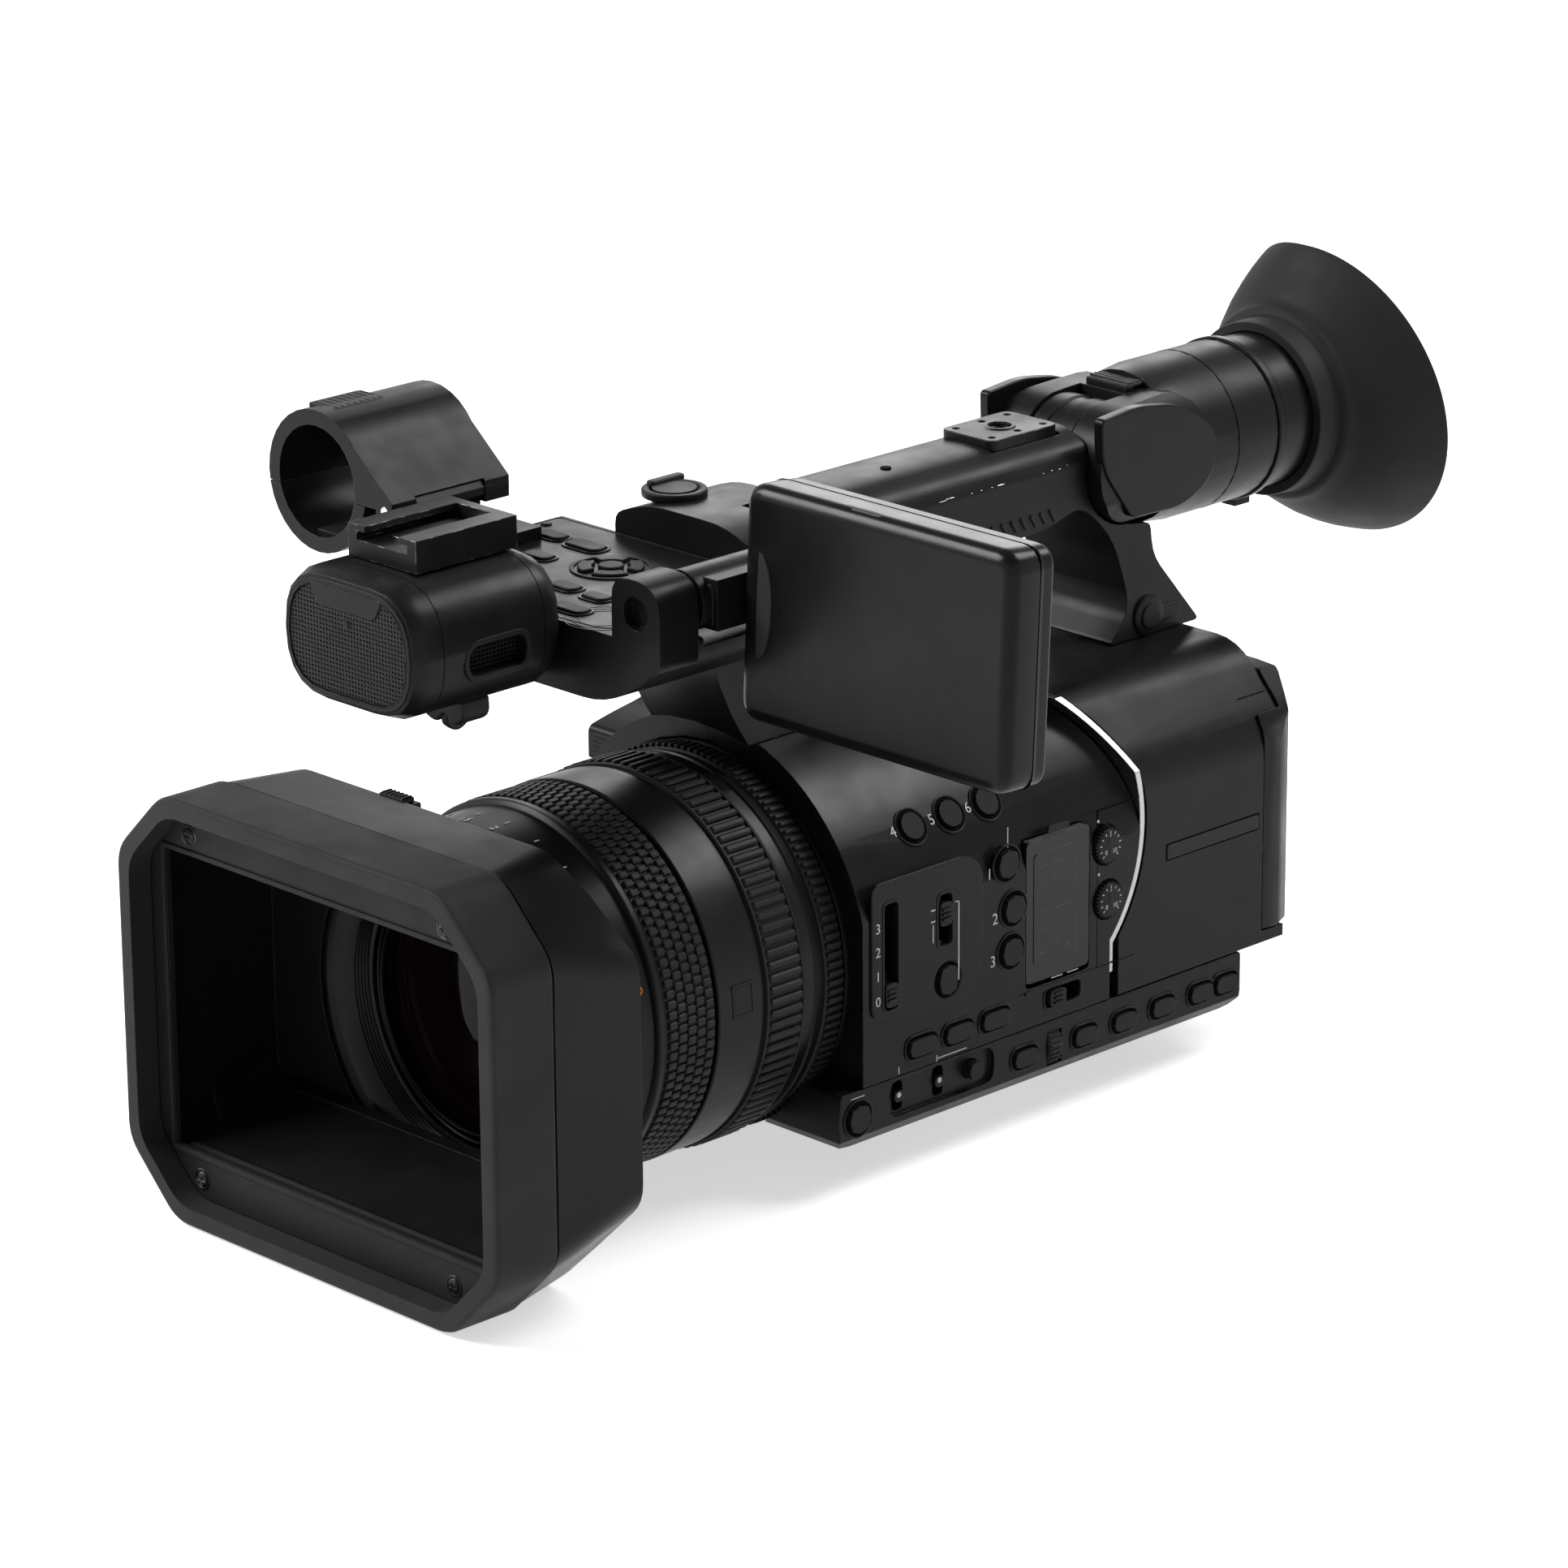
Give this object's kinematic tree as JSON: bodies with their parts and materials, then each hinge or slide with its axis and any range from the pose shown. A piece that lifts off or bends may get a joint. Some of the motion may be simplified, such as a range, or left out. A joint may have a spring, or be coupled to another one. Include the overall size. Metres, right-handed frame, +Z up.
{
  "type": "camcorder",
  "caption": "Handheld camcorder with a shuttered square hood, focus, zoom and iris rings, side controls, top handle, front microphone, fold-out screen and tilting viewfinder",
  "frame": {"origin": "underside of the tripod plate, in the plane of the lens axis", "axes": "+X to the operator's left, the lens looks along -Y, +Z up"},
  "size_m": [0.2735, 0.4033, 0.2041],
  "materials": {
    "barrel": "satin black",
    "ribbed_rubber": "matt black, worn",
    "optic": "coated, clear",
    "alloy": "satin",
    "black_metal": "black, worn at the edges",
    "hood_rubber": "matt dark grey",
    "body_plastic": "semi-gloss black with a fine grain",
    "matt_plastic": "matt black",
    "gloss_plastic": "gloss black",
    "board": "green circuit board",
    "webbing": "black woven strap",
    "display": "dark display glass"
  },
  "bodies": {
    "camera": {"lens_barrel": "barrel", "front_element": "optic", "zoom_lens_cell": "alloy", "sensor_block": "alloy", "hood_band": "hood_rubber", "hood_shell": "body_plastic", "hood_mask": "matt_plastic", "base_tray": "body_plastic", "tripod_plate": "alloy", "left_cover": "body_plastic", "right_cover": "body_plastic", "rear_cover": "body_plastic", "main_board": "board", "grip_housing": "body_plastic", "hand_strap": "webbing", "shoulder_cover": "body_plastic", "mic_sockets": "matt_plastic", "handle": "body_plastic", "handle_shoe_plate": "black_metal", "control_head": "body_plastic", "mic_housing": "body_plastic", "accessory_shoe": "black_metal", "mic_clamp_lower": "body_plastic"},
    "focus_ring_body": {"focus_ring": "ribbed_rubber"},
    "zoom_ring_body": {"zoom_ring": "ribbed_rubber"},
    "iris_ring_body": {"iris_ring": "ribbed_rubber"},
    "shutter_upper_body": {"shutter_upper": "matt_plastic"},
    "shutter_lower_body": {"shutter_lower": "matt_plastic"},
    "menu_wheel_body": {"menu_wheel": "matt_plastic"},
    "audio_door_body": {"audio_door": "gloss_plastic"},
    "level_dial_1_body": {"level_dial_1": "matt_plastic"},
    "level_dial_2_body": {"level_dial_2": "matt_plastic"},
    "card_door_body": {"card_door": "body_plastic"},
    "battery_body": {"battery": "matt_plastic"},
    "assign_keys_body": {"assign_keys": "matt_plastic"},
    "mode_keys_body": {"mode_keys": "matt_plastic"},
    "menu_keys_body": {"menu_keys": "matt_plastic"},
    "search_keys_body": {"search_keys": "matt_plastic"},
    "iris_button_body": {"iris_button": "matt_plastic"},
    "push_auto_button_body": {"push_auto_button": "matt_plastic"},
    "nd_switch_body": {"nd_switch": "matt_plastic"},
    "focus_switch_body": {"focus_switch": "matt_plastic"},
    "gain_switch_body": {"gain_switch": "matt_plastic"},
    "white_switch_body": {"white_switch": "matt_plastic"},
    "audio_mode_switch_body": {"audio_mode_switch": "matt_plastic"},
    "shoulder_keys_body": {"shoulder_keys": "matt_plastic"},
    "grip_zoom_rocker_body": {"grip_zoom_rocker": "matt_plastic"},
    "grip_record_button_body": {"grip_record_button": "matt_plastic"},
    "power_switch_body": {"power_switch": "matt_plastic"},
    "handle_record_button_body": {"handle_record_button": "matt_plastic"},
    "handle_zoom_lever_body": {"handle_zoom_lever": "matt_plastic"},
    "mic_clamp_upper_body": {"mic_clamp_upper": "body_plastic"},
    "screen_arm_body": {"screen_arm": "body_plastic"},
    "diopter_lever_body": {"diopter_lever": "matt_plastic"},
    "eyecup_body": {"eyecup": "ribbed_rubber"},
    "screen_body": {"screen_case": "gloss_plastic", "screen_glass": "display"},
    "viewfinder_unit": {"viewfinder_body": "body_plastic", "viewfinder_collar": "matt_plastic", "eyepiece_lens": "optic"}
  },
  "joints": [
    {"name": "focus_turn", "type": "hinge", "parent": "camera", "child": "focus_ring_body", "pos_m": [0, -0.11275, 0.0455], "axis": [0, 1, 0], "continuous": true},
    {"name": "zoom_turn", "type": "hinge", "parent": "camera", "child": "zoom_ring_body", "pos_m": [0, -0.0805, 0.0455], "axis": [0, 1, 0], "range_deg": [-45, 45]},
    {"name": "iris_turn", "type": "hinge", "parent": "camera", "child": "iris_ring_body", "pos_m": [0, -0.06275, 0.0455], "axis": [0, 1, 0], "continuous": true},
    {"name": "shutter_upper_swing", "type": "hinge", "parent": "camera", "child": "shutter_upper_body", "pos_m": [0, -0.186, 0.0872], "axis": [1, 0, 0], "range_deg": [-76, 0]},
    {"name": "shutter_lower_swing", "type": "hinge", "parent": "camera", "child": "shutter_lower_body", "pos_m": [0, -0.186, 0.0052], "axis": [1, 0, 0], "range_deg": [0, 76]},
    {"name": "menu_wheel_turn", "type": "hinge", "parent": "camera", "child": "menu_wheel_body", "pos_m": [0.0504, 0.0133, 0.0084], "axis": [0, 1, 0], "continuous": true},
    {"name": "assign_keys_press", "type": "slide", "parent": "camera", "child": "assign_keys_body", "axis": [-1, 0, 0], "range_m": [0, 0.0008], "stiffness_N_per_m": 250, "springref_m": -0.001},
    {"name": "mode_keys_press", "type": "slide", "parent": "camera", "child": "mode_keys_body", "axis": [-1, 0, 0], "range_m": [0, 0.0008], "stiffness_N_per_m": 250, "springref_m": -0.001},
    {"name": "menu_keys_press", "type": "slide", "parent": "camera", "child": "menu_keys_body", "axis": [-1, 0, 0], "range_m": [0, 0.0008], "stiffness_N_per_m": 250, "springref_m": -0.001},
    {"name": "search_keys_press", "type": "slide", "parent": "camera", "child": "search_keys_body", "axis": [-1, 0, 0], "range_m": [0, 0.0008], "stiffness_N_per_m": 250, "springref_m": -0.001},
    {"name": "iris_button_press", "type": "slide", "parent": "camera", "child": "iris_button_body", "axis": [-1, 0, 0], "range_m": [0, 0.0008], "stiffness_N_per_m": 250, "springref_m": -0.001},
    {"name": "push_auto_press", "type": "slide", "parent": "camera", "child": "push_auto_button_body", "axis": [-1, 0, 0], "range_m": [0, 0.0008], "stiffness_N_per_m": 250, "springref_m": -0.001},
    {"name": "shoulder_keys_press", "type": "slide", "parent": "camera", "child": "shoulder_keys_body", "axis": [-0.8192, 0, -0.5736], "range_m": [0, 0.0008], "stiffness_N_per_m": 250, "springref_m": -0.001},
    {"name": "nd_slide", "type": "slide", "parent": "camera", "child": "nd_switch_body", "axis": [0, 0, 1], "range_m": [0, 0.016]},
    {"name": "focus_switch_slide", "type": "slide", "parent": "camera", "child": "focus_switch_body", "axis": [0, 0, -1], "range_m": [0, 0.0045]},
    {"name": "gain_slide", "type": "slide", "parent": "camera", "child": "gain_switch_body", "axis": [0, 0, 1], "range_m": [-0.002, 0.002]},
    {"name": "white_slide", "type": "slide", "parent": "camera", "child": "white_switch_body", "axis": [0, 0, 1], "range_m": [-0.002, 0.002]},
    {"name": "audio_mode_slide", "type": "slide", "parent": "camera", "child": "audio_mode_switch_body", "axis": [0, 1, 0], "range_m": [0, 0.0056]},
    {"name": "audio_door_swing", "type": "hinge", "parent": "camera", "child": "audio_door_body", "pos_m": [0.0545, 0.01425, 0.0294], "axis": [0, 1, 0], "range_deg": [0, 95]},
    {"name": "level_1_turn", "type": "hinge", "parent": "camera", "child": "level_dial_1_body", "pos_m": [0.056, 0.033, 0.0599], "axis": [1, 0, 0], "range_deg": [-150, 150]},
    {"name": "level_2_turn", "type": "hinge", "parent": "camera", "child": "level_dial_2_body", "pos_m": [0.056, 0.0334, 0.0446], "axis": [1, 0, 0], "range_deg": [-150, 150]},
    {"name": "card_door_swing", "type": "hinge", "parent": "camera", "child": "card_door_body", "pos_m": [0.056, 0.0953, 0.055], "axis": [0, 0, -1], "range_deg": [0, 95]},
    {"name": "battery_draw", "type": "slide", "parent": "camera", "child": "battery_body", "axis": [0, 1, 0], "range_m": [0, 0.03]},
    {"name": "grip_zoom_rock", "type": "hinge", "parent": "camera", "child": "grip_zoom_rocker_body", "pos_m": [-0.074, 0.016, 0.0674], "axis": [1, 0, 0], "range_deg": [-8, 8], "stiffness_Nm_per_rad": 0.15},
    {"name": "grip_record_press", "type": "slide", "parent": "camera", "child": "grip_record_button_body", "axis": [0, -1, 0], "range_m": [0, 0.001], "stiffness_N_per_m": 250, "springref_m": -0.001},
    {"name": "power_turn", "type": "hinge", "parent": "camera", "child": "power_switch_body", "pos_m": [-0.078, 0.0678, 0.046], "axis": [0, 1, 0], "range_deg": [-25, 25]},
    {"name": "handle_record_press", "type": "slide", "parent": "camera", "child": "handle_record_button_body", "axis": [0, 0, -1], "range_m": [0, 0.001], "stiffness_N_per_m": 250, "springref_m": -0.001},
    {"name": "handle_zoom_rock", "type": "hinge", "parent": "camera", "child": "handle_zoom_lever_body", "pos_m": [0.011, -0.0436, 0.1555], "axis": [1, 0, 0], "range_deg": [-10, 10], "stiffness_Nm_per_rad": 0.05},
    {"name": "mic_clamp_open", "type": "hinge", "parent": "camera", "child": "mic_clamp_upper_body", "pos_m": [-0.0245, -0.1255, 0.1715], "axis": [0, 1, 0], "range_deg": [0, 80]},
    {"name": "screen_open", "type": "hinge", "parent": "camera", "child": "screen_arm_body", "pos_m": [0.0493, -0.0965, 0.1574], "axis": [0, -1, 0], "range_deg": [0, 90]},
    {"name": "screen_tilt", "type": "hinge", "parent": "screen_arm_body", "child": "screen_body", "pos_m": [0.06, -0.0965, 0.1574], "axis": [1, 0, 0], "range_deg": [-90, 180]},
    {"name": "viewfinder_tilt", "type": "hinge", "parent": "camera", "child": "viewfinder_unit", "pos_m": [0, 0.082, 0.1465], "axis": [1, 0, 0], "range_deg": [0, 70]},
    {"name": "diopter_turn", "type": "hinge", "parent": "viewfinder_unit", "child": "diopter_lever_body", "pos_m": [0, 0.145, 0.145], "axis": [0, 1, 0], "range_deg": [-35, 35]},
    {"name": "eyecup_turn", "type": "hinge", "parent": "viewfinder_unit", "child": "eyecup_body", "pos_m": [0, 0.16, 0.145], "axis": [0, 1, 0], "range_deg": [-180, 180]}
  ],
  "couplings": [
    {"joint": "shutter_upper_swing", "follows": "shutter_lower_swing", "ratio": -1}
  ]
}
